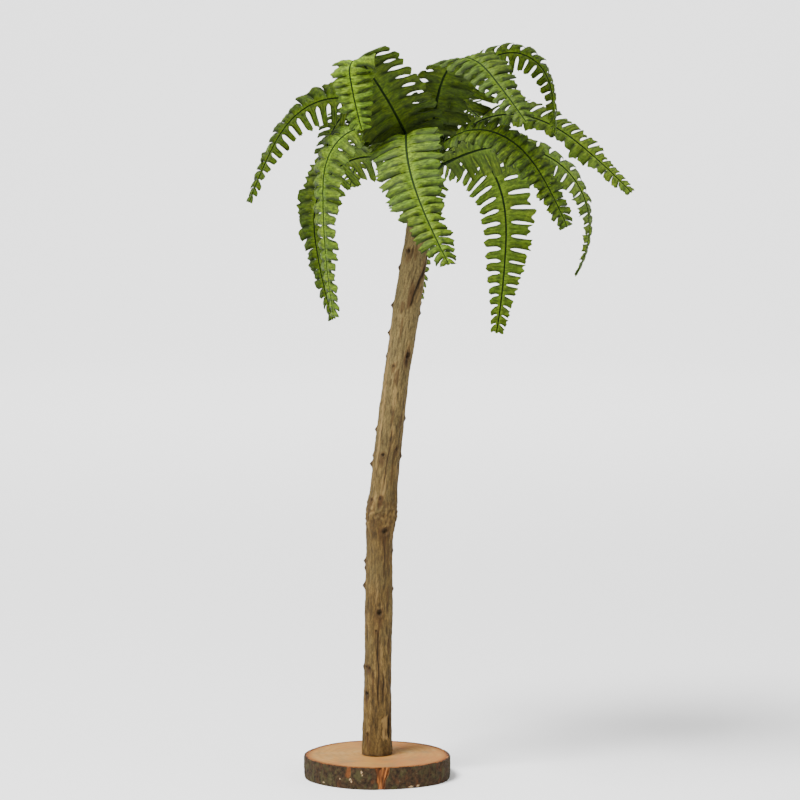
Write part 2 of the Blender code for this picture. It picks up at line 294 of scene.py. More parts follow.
class SliceSettings(bpy.types.PropertyGroup):
    """Sizes and colours of the slice of wood that the palm stands on."""

    bark_thickness: length_property("Bark thickness", "How thick the dark outer bark is", 0.75, 0.3, 4)
    inner_bark: length_property("Inner bark", "How thick the layer under the bark is", 0.5, 0.2, 3)
    bark_relief: length_property("Bark relief", "How far the bark's bumps stand out", 0.45, 0, 2)
    wood_color: color_property("Sanded wood", "The pale wood of the top", screen(148, 108, 54))
    wood_shade: color_property("Wood rings", "The darker rings of the top", screen(132, 92, 42))
    inner_color: color_property("Inner bark", "The rust-coloured layer under the bark", screen(104, 58, 24))
    bark_color: color_property("Bark", "The bark's main colour", screen(50, 36, 20))


class TrunkSettings(bpy.types.PropertyGroup):
    """Sizes and colours of the branch that is the trunk."""

    sides: IntProperty(name="Sides", description="Points round the trunk", default=144, min=24, max=256)
    rings: IntProperty(name="Rings", description="Rings of points up the trunk", default=620, min=50, max=680)
    relief: length_property("Relief", "How far the bark's fibres stand out", 0.22, 0, 2)
    bark_color: color_property("Bark", "The branch's main colour", screen(92, 71, 32))
    pale_color: color_property("Pale streaks", "Where the bark has worn", screen(130, 104, 60))
    grey_color: color_property("Weathered bark", "The greyer upper part of the branch", screen(108, 96, 60))
    dark_color: color_property("Dark streaks", "Between the bark's fibres", screen(72, 54, 22))
    rust_color: color_property("Rust stains", "Round knots and cracks", screen(60, 38, 12))


class FrondSettings(bpy.types.PropertyGroup):
    """Sizes and colours of the cloth fronds."""

    cloth_thickness: length_property("Cloth thickness", "How thick the stiffened cloth is", 0.34, 0.1, 1)
    puff: length_property("Puff", "How far each leaflet is pressed up beside its middle", 0.9, 0, 2)
    groove: length_property("Groove", "How deep each leaflet's middle groove is pressed", 0.4, 0, 1)
    pleat: length_property("Pleat", "How far each leaflet's edge laps over the next one's", 0.24, 0, 1)
    crinkle: length_property("Crinkle", "How uneven the pressed cloth is", 0.34, 0, 1)
    wire_radius: length_property("Wire radius", "Radius of the covered wire at its thick end", 0.76, 0.1, 1)
    unevenness: FloatProperty(
        name="Unevenness", description="How much leaflets differ from each other",
        default=1.0, min=0, max=3, subtype="FACTOR",
    )
    upper_color: color_property("Upper side", "The bright side of the cloth", screen(74, 100, 5))
    lower_color: color_property("Underside", "The olive side of the cloth", screen(84, 111, 18))
    # The cut edge is darker than the cloth: partly its own colour, partly painted shade that outlines the
    # leaflets
    edge_color: color_property("Cut edge", "The cloth's cut edge", screen(60, 82, 16))
    wire_color: color_property("Wire", "The dark green covered wire", screen(18, 34, 4))


class StageSettings(bpy.types.PropertyGroup):
    """The floor, lights and camera."""

    floor_color: color_property("Floor", "The plain pale floor", (0.86, 0.86, 0.86))
    key_power: power_property("Main light", "Power of the large soft light at the front left", 110.0)
    fill_power: power_property("Fill light", "Power of the light at the right", 8.0)
    floor_power: power_property("Floor light", "Power of the light on the floor behind the palm", 130.0)
    sky_strength: FloatProperty(
        name="Sky", description="Strength of the even light from all round", default=0.5, min=0
    )


# ------------------------------------------------------------------ materials

# Tints that the finishes mix in, besides the colours in the settings
BARK_OLIVE = screen(86, 76, 44)
WOOD_RED = screen(142, 90, 44)
WOOD_PALE = screen(144, 120, 76)
WOOD_GREY = screen(112, 94, 60)
WOOD_RIM = screen(120, 74, 34)
PALE_STRANDS = screen(152, 92, 42)
DARK_STRANDS = screen(58, 28, 12)
SCALE_OLIVE = screen(62, 58, 32)
SCALE_RUST = screen(78, 46, 24)
SCALE_GREY = screen(104, 96, 74)
TORN_BARK = screen(104, 60, 28)
CHIPPED_BARK = screen(186, 158, 120)


class Recipe:
    """A material's nodes, with short calls for the few kinds that this model's finishes need."""

    def __init__(self, name, roughness, **sockets):
        self.material = bpy.data.materials.new(name)
        self.material.use_nodes = True
        self.tree = self.material.node_tree
        self.shader = self.tree.nodes["Principled BSDF"]
        self.shader.inputs["Roughness"].default_value = roughness
        for socket, value in sockets.items():
            self.shader.inputs[socket.replace("_", " ")].default_value = value

    def add(self, kind, **values):
        """A new node. Each value is a link or a number for the input of its name, or else a setting."""
        node = self.tree.nodes.new(kind)
        for key, value in values.items():
            socket = key.replace("_", " ")
            if isinstance(value, bpy.types.NodeSocket):
                self.tree.links.new(value, node.inputs[socket])
            elif socket in node.inputs:
                node.inputs[socket].default_value = value
            else:
                setattr(node, key, value)
        return node

    def place(self):
        return self.add("ShaderNodeTexCoord").outputs["Object"]

    def stored(self, name):
        """A value or place that was stored on the mesh's points."""
        return self.add("ShaderNodeAttribute", attribute_name=name)

    def stretched(self, vector, scale):
        return self.add("ShaderNodeMapping", Vector=vector, Scale=scale).outputs["Vector"]

    def noise(self, vector, scale, detail=4.0, rough=0.55):
        made = self.add("ShaderNodeTexNoise", Scale=scale, Detail=detail, Roughness=rough, Vector=vector)
        return made.outputs["Fac"]

    def ramp(self, value, *stops):
        """Maps a value through two (place, number) stops to a number."""
        ramp = self.add("ShaderNodeValToRGB", Fac=value)
        for point, (position, number) in zip(ramp.color_ramp.elements, stops):
            point.position = position
            point.color = (number, number, number, 1.0)
        return ramp.outputs["Color"]

    def blend(self, share, first, second, kind="MIX"):
        """Mixes two colours, each of them and the share given as a link or as a value."""
        mix = self.add("ShaderNodeMix", data_type="RGBA", blend_type=kind)
        sockets = [s for s in mix.inputs if s.enabled]
        for socket, value in zip(sockets, (share, first, second)):
            if isinstance(value, bpy.types.NodeSocket):
                self.tree.links.new(value, socket)
            elif socket.type == "RGBA":
                socket.default_value = (*value, 1.0)
            else:
                socket.default_value = value
        return next(s for s in mix.outputs if s.enabled)

    def tint(self, color, value, first, second, tint):
        """Mixes a tint in, by the share that two (place, share) stops make of a value."""
        return self.blend(self.ramp(value, first, second), color, tint)

    def shade(self, color, value, first, second):
        """Multiplies a colour by what two (place, factor) stops make of a value."""
        return self.blend(1.0, color, self.ramp(value, first, second), "MULTIPLY")

    def mark(self, color, name, tint):
        """Mixes a tint in, by the share that was stored under a name on the mesh's points."""
        return self.blend(self.stored(name).outputs["Fac"], color, tint)

    def finish(self, color, height, depth):
        """Paints the surface, presses the relief of height into it, and gives the material."""
        bump = self.add("ShaderNodeBump", Height=height, Distance=depth, Strength=1.0)
        self.tree.links.new(color, self.shader.inputs["Base Color"])
        self.tree.links.new(bump.outputs["Normal"], self.shader.inputs["Normal"])
        return self.material


def scaled(color, *shares):
    """A colour with its channels multiplied, all by one share or each by its own."""
    shares = shares * 3 if len(shares) == 1 else shares
    return tuple(min(channel * share, 1.0) for channel, share in zip(color, shares))


def cloth_material(name, color, weave_depth, contrast):
    """Dyed and pressed cloth: streaked along its leaflets, with painted shade darkening its creases and the
    part near the crown.
    """
    recipe = Recipe(name, 0.7, Specular_IOR_Level=0.2)
    place = recipe.place()
    along_leaflets = recipe.stretched(recipe.stored("flat").outputs["Vector"], (1.0, 0.28, 1.0))
    streaks = recipe.noise(along_leaflets, 1150.0, 4.0, 0.7)
    dye = recipe.noise(place, 480.0, 4.0, 0.6)
    patches = recipe.noise(place, 90.0, 2.0)
    nap = recipe.noise(place, 2400.0, 2.0, 0.7)
    tone = recipe.tint(color, patches, (0.38, 0.0), (0.66, 0.8), scaled(color, 1.45, 1.15, 0.9))
    tone = recipe.tint(tone, dye, (0.36, 0.6 * contrast), (0.56, 0.0), scaled(color, 0.42))
    tone = recipe.mark(tone, "beside_rib", scaled(color, 1.5, 1.35, 1.3))
    tone = recipe.shade(tone, streaks, (0.36, 1 - 0.55 * contrast), (0.64, 1 + 0.45 * contrast))
    # Painted shade: darker between leaflets, in their grooves and on their turned-down sides
    tone = recipe.mark(tone, "crease", scaled(color, 0.20))
    # Painted shade: darker cloth near the crown, where the fronds shade each other
    tone = recipe.mark(tone, "deep", scaled(color, 0.30))
    return recipe.finish(tone, nap, weave_depth)


def wire_material(color):
    """Matt dark green covering, a little uneven."""
    recipe = Recipe("covered_wire", 0.7, Specular_IOR_Level=0.1)
    place = recipe.place()
    tone = recipe.blend(recipe.noise(place, 420.0, 2.0), scaled(color, 0.75), scaled(color, 1.3))
    return recipe.finish(tone, recipe.noise(place, 1800.0, 2.0), 0.08 * MM)


def branch_material(look):
    """Dry branch bark: fine upright flakes and cracks, with worn, stained and cracked places."""
    recipe = Recipe("branch_bark_finish", 0.86, Specular_IOR_Level=0.25)
    straight = recipe.stored("straight").outputs["Vector"]
    broad = recipe.noise(recipe.stretched(straight, (1.0, 1.0, 0.22)), 360.0, 4.0, 0.6)
    flakes = recipe.noise(recipe.stretched(straight, (1.0, 1.0, 0.16)), 1300.0, 4.0, 0.65)
    fine = recipe.noise(recipe.stretched(straight, (1.0, 1.0, 0.45)), 1600.0, 3.0, 0.7)
    patches = recipe.noise(recipe.stretched(straight, (1.0, 1.0, 0.5)), 70.0, 3.0)
    dark, pale, rust = look.dark_color, look.pale_color, look.rust_color
    color = recipe.tint(dark, broad, (0.38, 0.0), (0.60, 1.0), look.bark_color)
    color = recipe.tint(color, broad, (0.52, 0.0), (0.70, 0.45), pale)
    color = recipe.mark(color, "weathered", look.grey_color)
    color = recipe.tint(color, patches, (0.45, 0.0), (0.68, 0.55), BARK_OLIVE)
    color = recipe.shade(color, flakes, (0.36, 0.64), (0.62, 1.12))
    color = recipe.shade(color, fine, (0.36, 0.68), (0.62, 1.20))
    color = recipe.tint(color, flakes, (0.28, 0.75), (0.38, 0.0), rust)
    color = recipe.mark(color, "pale", pale)
    color = recipe.mark(color, "rust", rust)
    color = recipe.mark(color, "crack", scaled(dark, 0.25))
    return recipe.finish(color, flakes, 0.35 * MM)


def end_grain_material(look):
    """Sanded end grain, with faint rings round a pith that is a little off centre."""
    recipe = Recipe("sanded_end_grain", 0.8, Specular_IOR_Level=0.1)
    place = recipe.place()
    from_pith = recipe.add("ShaderNodeMapping", Vector=place, Location=(4 * MM, -3 * MM, 0.0))
    rings = recipe.add(
        "ShaderNodeTexWave", wave_type="RINGS", rings_direction="Z", Vector=from_pith.outputs["Vector"],
        Scale=95.0, Distortion=6.0, Detail=4.0, Detail_Scale=1.2,
    ).outputs["Fac"]
    broad = recipe.noise(place, 42.0, 4.0, 0.6)
    patches = recipe.noise(place, 95.0, 3.0)
    pores = recipe.noise(place, 2200.0, 2.0, 0.7)
    color = recipe.tint(look.wood_color, rings, (0.35, 0.0), (1.0, 0.5), look.wood_shade)
    color = recipe.tint(color, broad, (0.44, 0.0), (0.62, 0.8), WOOD_RED)
    color = recipe.tint(color, broad, (0.30, 0.7), (0.42, 0.0), WOOD_PALE)
    color = recipe.tint(color, patches, (0.50, 0.0), (0.70, 0.7), WOOD_GREY)
    color = recipe.mark(color, "rim", WOOD_RIM)
    return recipe.finish(color, pores, 0.06 * MM)


def inner_bark_material(look):
    """The fibrous rust-coloured layer between wood and bark, torn into pale and dark strands."""
    recipe = Recipe("inner_bark", 0.8, Specular_IOR_Level=0.2)
    place = recipe.place()
    fibres = recipe.noise(recipe.stretched(place, (1.0, 1.0, 0.10)), 900.0, 4.0, 0.6)
    strands = recipe.noise(recipe.stretched(place, (1.0, 1.0, 0.12)), 420.0, 2.0, 0.5)
    dark, bright = scaled(look.inner_color, 0.40), scaled(look.inner_color, 1.15)
    color = recipe.tint(dark, fibres, (0.35, 0.0), (0.62, 1.0), bright)
    color = recipe.tint(color, strands, (0.54, 0.0), (0.60, 0.8), PALE_STRANDS)
    color = recipe.tint(color, strands, (0.40, 0.9), (0.46, 0.0), DARK_STRANDS)
    return recipe.finish(color, fibres, 0.3 * MM)


def slice_bark_material(look):
    """Weathered bark: dark brown with olive and grey scales, rusty tears and pale chips."""
    recipe = Recipe("weathered_bark", 0.9, Specular_IOR_Level=0.2)
    place = recipe.place()
    scales = recipe.noise(place, 620.0, 5.0, 0.65)
    tints = recipe.noise(recipe.stretched(place, (1.0, 1.0, 0.6)), 330.0, 3.0, 0.6)
    dark, bright = scaled(look.bark_color, 0.42), scaled(look.bark_color, 1.35)
    color = recipe.tint(dark, scales, (0.38, 0.0), (0.62, 1.0), bright)
    color = recipe.tint(color, tints, (0.50, 0.0), (0.64, 0.75), SCALE_OLIVE)
    color = recipe.tint(color, tints, (0.30, 0.8), (0.42, 0.0), SCALE_RUST)
    color = recipe.tint(color, scales, (0.64, 0.0), (0.74, 0.6), SCALE_GREY)
    color = recipe.mark(color, "torn", TORN_BARK)
    color = recipe.mark(color, "chip", CHIPPED_BARK)
    return recipe.finish(color, scales, 0.6 * MM)


# --------------------------------------------------------------- mesh helpers


def smooth(x):
    x = np.clip(x, 0.0, 1.0)
    return x * x * (3 - 2 * x)


def add_piece(name, points, faces, materials, slots=None, sharp_degrees=50.0):
    """A mesh piece that rides with the palm's one body."""
    mesh = bpy.data.meshes.new(name)
    mesh.from_pydata(np.asarray(points).tolist(), [], [tuple(map(int, face)) for face in faces])
    for material in materials:
        mesh.materials.append(material)
    if slots is not None:
        mesh.polygons.foreach_set("material_index", np.asarray(slots, np.int32))
    mesh.shade_smooth()
    mesh.set_sharp_from_angle(angle=math.radians(sharp_degrees))
    mesh.update()
    piece = bpy.data.objects.new(name, mesh)
    bpy.context.scene.collection.objects.link(piece)
    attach(piece, "root")
    return piece


def store(piece, name, values, each=1):
    """Keeps a number, or a place of three, for each of the mesh's points, which a material reads."""
    kind, field = ("FLOAT", "value") if each == 1 else ("FLOAT_VECTOR", "vector")
    layer = piece.data.attributes.new(name, kind, "POINT")
    layer.data.foreach_set(field, np.asarray(values, np.float32).ravel())


def ring_quads(rings, sides, ends="capped"):
    """Quads between rings of points, whose first and last ring are capped, open, or joined to each other."""
    faces = []
    for level in range(rings if ends == "joined" else rings - 1):
        low, high = level * sides, (level + 1) % rings * sides
        for i in range(sides):
            j = (i + 1) % sides
            faces.append((low + i, low + j, high + j, high + i))
    if ends == "capped":
        faces.append(tuple(reversed(range(sides))))
        faces.append(tuple(range((rings - 1) * sides, rings * sides)))
    return faces


def ring_points(rows, turn):
    """Points round the upright axis, from each row's radius and height at the angles in turn."""
    rings = []
    for radius, height in rows:
        rings.append(np.stack([radius * np.cos(turn), radius * np.sin(turn), height + 0 * turn], 1))
    return np.concatenate(rings)


def all_round(sides):
    """Angles of a ring's points, in radians."""
    return np.linspace(0, 2 * math.pi, sides, endpoint=False)


def noise_at(x, y, z):
    """Noise from -1 to 1 at many places."""
    x, y, z = np.broadcast_arrays(x, y, z)
    places = zip(x.ravel().tolist(), y.ravel().tolist(), z.ravel().tolist())
    return np.array([noise.noise(place) for place in places]).reshape(x.shape)


# ----------------------------------------------------------------- base slice


def slice_outline(turn):
    """The bark's outer radius at an angle in radians, without its relief."""
    radius = SLICE_RADIUS
    for waves, height, phase in SLICE_WAVES:
        radius = radius + height * np.cos(waves * turn + math.radians(phase))
    return radius


def away_from(turn, degrees):
    """How far an angle is from a direction, in radians, with its sign."""
    return (turn - np.radians(degrees) + math.pi) % (2 * math.pi) - math.pi


def build_slice_wood(look):
    """The pale wood: a sanded disc with a slightly uneven top."""
    turn = all_round(240)
    edge = slice_outline(turn) - look.bark_thickness - look.inner_bark
    profile = [(0.02, 0.0), (0.5, 0.0), (0.985, 0.0)]
    profile += [(1.0, height * SLICE_THICKNESS) for height in (0.05, 0.4, 0.7)]
    profile += [(1.0, SLICE_THICKNESS - 0.4 * MM), (0.992, SLICE_THICKNESS - 0.12 * MM)]
    profile += [(share, SLICE_THICKNESS - 0.05 * MM) for share in np.linspace(0.975, 0.02, 30)]
    points = ring_points([(edge * share, height) for share, height in profile], turn)
    x, y, height = points.T.copy()
    points[:, 2] += 0.05 * MM * noise_at(x * 90, y * 90, 0.0) * (height > 0.9 * SLICE_THICKNESS)
    share = np.repeat([share for share, _ in profile], len(turn))
    rim = smooth((share - 0.90) / 0.10 + 0.25 * noise_at(x * 160, y * 160, 3.0))
    faces = ring_quads(len(profile), len(turn))
    piece = add_piece("slice_wood_disc", points, faces, [end_grain_material(look)])
    store(piece, "rim", rim)
    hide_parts("base_slice")


def split_opening(turn, share):
    """How open the bark's split is at an angle and a share of the height: 1 inside it, 0 outside."""
    top, bottom = SPLIT_AT_TOP, SPLIT_AT_BOTTOM
    rise = share**1.2
    centre = bottom[0] + (top[0] - bottom[0]) * rise + 0.5 * math.sin(share * 11)
    half = bottom[1] + (top[1] - bottom[1]) * rise
    return smooth((half - np.abs(np.degrees(away_from(turn, centre)))) / 0.8 + 0.5)


def build_inner_bark(look):
    """The thin rust-coloured layer, seen as a line at the rim and as torn fibres in the split."""
    turn = all_round(600)
    outer = slice_outline(turn) - look.bark_thickness
    inner = outer - look.inner_bark - 0.2 * MM
    rows = []
    for share in np.linspace(0.02, 1.0, 22):
        spikes = 0 * turn
        for degrees, lean in SPLIT_FIBRES:
            far = np.degrees(away_from(turn, degrees - lean * (1 - share))) / 0.75
            spikes = spikes + np.exp(-far * far)
        torn = 0.62 * MM * spikes - 0.25 * MM + 0.4 * MM * noise_at(turn * 75, share * 2.6, 5.0)
        rows.append((outer + split_opening(turn, share) * torn, share * (SLICE_THICKNESS + 0.02 * MM)))
    rows.append((outer - 0.25 * MM, SLICE_THICKNESS + 0.04 * MM))
    rows.append((inner, SLICE_THICKNESS - 0.02 * MM))
    rows.append((inner, 0.02 * SLICE_THICKNESS))
    faces = ring_quads(len(rows), len(turn), ends="joined")
    piece = add_piece("slice_inner_bark", ring_points(rows, turn), faces, [inner_bark_material(look)])
    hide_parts("base_slice")


# (angle, share of the height, half width, half height in millimetres) of small pale chips in the bark
CHIPS = (
    (248.1, 0.45, 0.75, 0.45), (248.9, 0.36, 0.5, 0.5), (238.8, 0.43, 0.35, 0.3), (257.6, 0.80, 0.45, 0.75),
    (258.2, 0.66, 0.3, 0.4), (299, 0.07, 1.2, 0.5), (305, 0.10, 0.8, 0.4), (222, 0.15, 0.6, 0.3),
    (38, 0.55, 0.7, 0.6), (96, 0.7, 0.5, 0.9), (151, 0.4, 0.6, 0.5), (182, 0.2, 0.8, 0.4),
)


def build_slice_bark(look):
    """The rough dark bark round the slice, open at its split."""
    turn = all_round(900)
    outer = slice_outline(turn)
    inner = outer - look.bark_thickness
    rows, chips, tears = [], [], []
    for share in (0.0, 0.03, *np.linspace(0.08, 0.92, 26), 0.965, 0.985):
        height = share * SLICE_THICKNESS
        chip = chip_share(turn, share)
        nick = nick_share(turn, share)
        opening = split_opening(turn, share)
        beside = opening * (1 - opening) * 4
        edge = -0.45 * MM * (1 - share) ** 5 - 0.1 * MM * share**8
        radius = outer + edge + look.bark_relief * bark_bumps(turn, height)
        radius = radius - 0.35 * MM * chip - 0.45 * MM * nick + 0.3 * MM * beside
        rows.append((radius + (inner - 0.3 * MM - radius) * opening, height))
        chips.append(chip)
        tears.append(np.clip(0.85 * nick + 0.7 * beside, 0, 1))
    lip = SLICE_THICKNESS * (0.99 + 0.012 * noise_at(turn * 45, 1.0, 9.0))
    rows.append((np.maximum(rows[-1][0] - 0.18 * MM, inner - 0.2 * MM), lip))
    rows.append((inner - 0.3 * MM, SLICE_THICKNESS * 0.975))
    rows.append((inner - 0.3 * MM, 0.0))
    chips += [0 * turn] * 3
    tears += [tears[-1] * 0.4, 0 * turn, 0 * turn]
    faces = ring_quads(len(rows), len(turn), ends="joined")
    piece = add_piece("slice_bark", ring_points(rows, turn), faces, [slice_bark_material(look)])
    store(piece, "chip", np.concatenate(chips))
    store(piece, "torn", np.concatenate(tears))
    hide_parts("base_slice")


def bark_bumps(turn, height):
    """Bark relief from -1 to 1: upright plates with cracks between them, and finer scales."""
    around = turn * SLICE_RADIUS
    plates = noise_at(around * 420, height * 150, 1.7)
    scales = noise_at(around * 1100, height * 700, 4.1)
    return 0.45 * (1 - 2.2 * np.abs(plates)) + 0.45 * scales


def chip_share(turn, share):
    """1 where a chip has come off the bark, 0 elsewhere."""
    total = 0 * turn
    for angle, height, half_width, half_height in CHIPS:
        across = away_from(turn, angle) * SLICE_RADIUS / MM / half_width
        up = (share - height) * SLICE_THICKNESS / MM / half_height
        ragged = 0.5 * np.sin(turn * 700 + 9 * up)
        total = total + smooth(1.3 - across**2 - up**2 + ragged)
    return np.clip(total, 0, 1)


def nick_share(turn, share):
    """1 where the bark has torn off below the rim, down to the rust-coloured layer."""
    middle, half_width = NICK
    across = np.abs(np.degrees(away_from(turn, middle - 1.5 * (1 - share)))) / half_width
    return smooth(1.4 - across**3 - smooth((0.62 - share) * 4) * 2.2 + 0.4 * np.sin(turn * 260))


# ---------------------------------------------------------------------- trunk


def trunk_centre(height):
    """How far to the right the trunk's middle is at a height."""
    above = np.maximum(height - KINK_HEIGHT, 0.0)
    below = np.minimum(height, KINK_HEIGHT) - TRUNK_FOOT
    return FOOT_OFFSET + LOWER_LEAN * below + UPPER_LEAN * above + UPPER_SWEEP * above * above


def trunk_radius(height):
    """The trunk's radius at a height, with its flare at the foot and its swelling."""
    share = (height - TRUNK_FOOT) / (TRUNK_TOP - TRUNK_FOOT)
    radius = WAIST_RADIUS + (TOP_RADIUS - WAIST_RADIUS) * share
    radius = radius + (FOOT_RADIUS - WAIST_RADIUS) * np.exp(-(height - TRUNK_FOOT) / FOOT_FLARE)
    return radius + SWELLING_OUT * np.exp(-(((height - SWELLING_HEIGHT) / SWELLING_SPREAD) ** 2))


def out_of_round(turn, height):
    """How far the branch departs from a circle, as a factor of its radius."""
    level = height / MM
    upper = 0.07 * smooth((level - 190) / 20) * smooth((275 - level) / 20)
    lower = 0.08 * smooth((95 - level) / 20)
    lean = upper * np.cos(turn) + lower * np.clip(np.cos(turn), 0, 1)
    return 1 + 0.03 * np.sin(2 * turn + 90 * height) + 0.02 * np.sin(3 * turn - 40 * height) + lean


# (height in millimetres, angle, how far it stands out in millimetres) of bud stubs
STUBS = (
    (244, 184, 0.9), (226, 182, 1.3), (213, 186, 1.3), (202, 181, 0.5), (167, 180, 0.8), (154.5, 180, 0.7),
    (150.5, 182, 1.7), (104, 184, 1.2), (100.5, 182, 0.7), (92, 180, 1.4), (53, 180, 0.8), (227, 2, 0.6),
    (222, 0, 0.7), (172, 0, 0.8), (154, 358, 0.6), (109, 350, 0.7), (90.5, 356, 0.7), (60, 95, 1.2),
    (98, 60, 0.9), (140, 110, 1.3), (176, 75, 1.0), (208, 120, 1.2), (236, 58, 1.0), (262, 100, 1.1),
)
# (height, angle, radius) of knots: a dark pit in a raised ring
KNOTS = (
    (119.2, 289, 1.5), (133.9, 225, 0.7), (134.6, 262, 0.7), (79.7, 276, 1.5), (71.1, 263, 0.6),
    (53.4, 217, 0.9),
    (53, 234, 0.8), (40.6, 218, 1.1), (21, 226, 0.8), (251.8, 242, 1.2), (202.7, 308, 1.3), (158.1, 312, 0.8),
    (155.3, 251, 1.0), (135.5, 261, 0.6), (197.6, 251, 0.8), (84, 84, 1.5), (128, 50, 1.0), (122, 130, 1.3),
    (189, 96, 1.2), (226, 70, 0.9), (38, 120, 1.1), (30, 45, 0.9), (247, 140, 1.0), (160, 150, 0.8),
)
# (height, angle, half length, half width) of rust stains along the fibres
STAINS = (
    (86.6, 312, 6, 0.7), (64.1, 321, 5, 1.0), (251.8, 276, 5, 0.8), (224.9, 250, 3.5, 1.2),
    (231, 283, 6, 1.4), (192.4, 269, 4, 1.1), (174.3, 273, 4, 0.7), (171.1, 315, 3.5, 0.8),
    (146.6, 301, 5, 0.8), (104.7, 313, 7, 0.8),
    (31, 330, 6, 0.9), (16, 235, 3, 1.2), (45, 250, 5, 0.6), (203, 310, 5, 1.2), (215, 262, 6, 0.6),
    (70, 80, 7, 0.9), (150, 60, 6, 0.8), (205, 110, 7, 1.0), (110, 120, 6, 0.8), (245, 80, 5, 0.9),
)
# (height, angle, half length, half width) of worn pale streaks
PALE_PLACES = (
    (214, 205, 10, 0.7), (195, 215, 16, 0.8), (176, 219, 15, 0.8), (158, 222, 14, 0.7), (182, 272, 5, 0.9),
    (165, 281, 7, 0.7), (197, 256, 3, 0.9), (140, 268, 7, 1.3), (132, 238, 5, 1.0), (205, 305, 4, 0.7),
    (240, 318, 10, 0.8), (60, 285, 6, 0.7), (122, 300, 5, 0.8), (90, 262, 6, 0.7), (46, 300, 6, 1.0),
    (230, 60, 12, 0.9), (180, 120, 14, 0.9), (120, 80, 9, 1.0), (70, 140, 12, 0.8), (40, 60, 9, 0.9),
)
# (lowest, highest, angle at the lowest, angle at the highest, half width, depth) of open cracks
CRACKS = (
    (33, 71, 276, 270, 0.28, 0.5), (36, 52, 300, 291, 0.22, 0.4), (95, 117, 296, 291, 0.22, 0.35),
    (224, 249, 286, 336, 0.55, 0.7), (238, 252, 322, 344, 0.45, 0.6), (196, 206, 309, 307, 0.45, 0.5),
    (18, 30, 326, 324, 0.5, 0.9), (19.5, 25, 318, 320, 0.45, 0.7), (140, 170, 268, 279, 0.15, 0.25),
    (20, 60, 100, 106, 0.25, 0.4), (130, 175, 80, 88, 0.25, 0.4), (200, 240, 130, 122, 0.3, 0.4),
    (60, 100, 40, 46, 0.2, 0.3), (180, 222, 40, 34, 0.22, 0.35),
)
# The peeled place at the foot: (lowest, highest, first angle, last angle)
PEELED = (19, 29.5, 287, 327)


def build_trunk_bark(look):
    """The branch as one closed surface, with its bark's relief in the mesh."""
    levels = np.linspace(TRUNK_FOOT, TRUNK_TOP, look.rings)
    height, turn = np.meshgrid(levels, all_round(look.sides), indexing="ij")
    bark = Bark(height, turn, look.relief)
    reach = bark.radius * out_of_round(turn, height) + bark.relief
    points = np.stack([trunk_centre(height) + reach * np.cos(turn), reach * np.sin(turn), height], -1)
    faces = ring_quads(look.rings, look.sides)
    piece = add_piece("trunk_bark", points.reshape(-1, 3), faces, [branch_material(look)], sharp_degrees=60)
    store(piece, "pale", bark.pale)
    store(piece, "rust", bark.rust)
    store(piece, "crack", bark.crack)
    store(piece, "weathered", 0.55 * smooth((bark.level - 125) / 90))
    straight = np.stack([WAIST_RADIUS * np.cos(turn), WAIST_RADIUS * np.sin(turn), height], -1)
    store(piece, "straight", straight, each=3)
    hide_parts("trunk")


def along_fibres(height, turn, across_scale, up_scale, shift):
    """Noise from -1 to 1, stretched along the trunk."""
    around = WAIST_RADIUS * across_scale
    return noise_at(np.cos(turn) * around, np.sin(turn) * around, height * up_scale + shift)


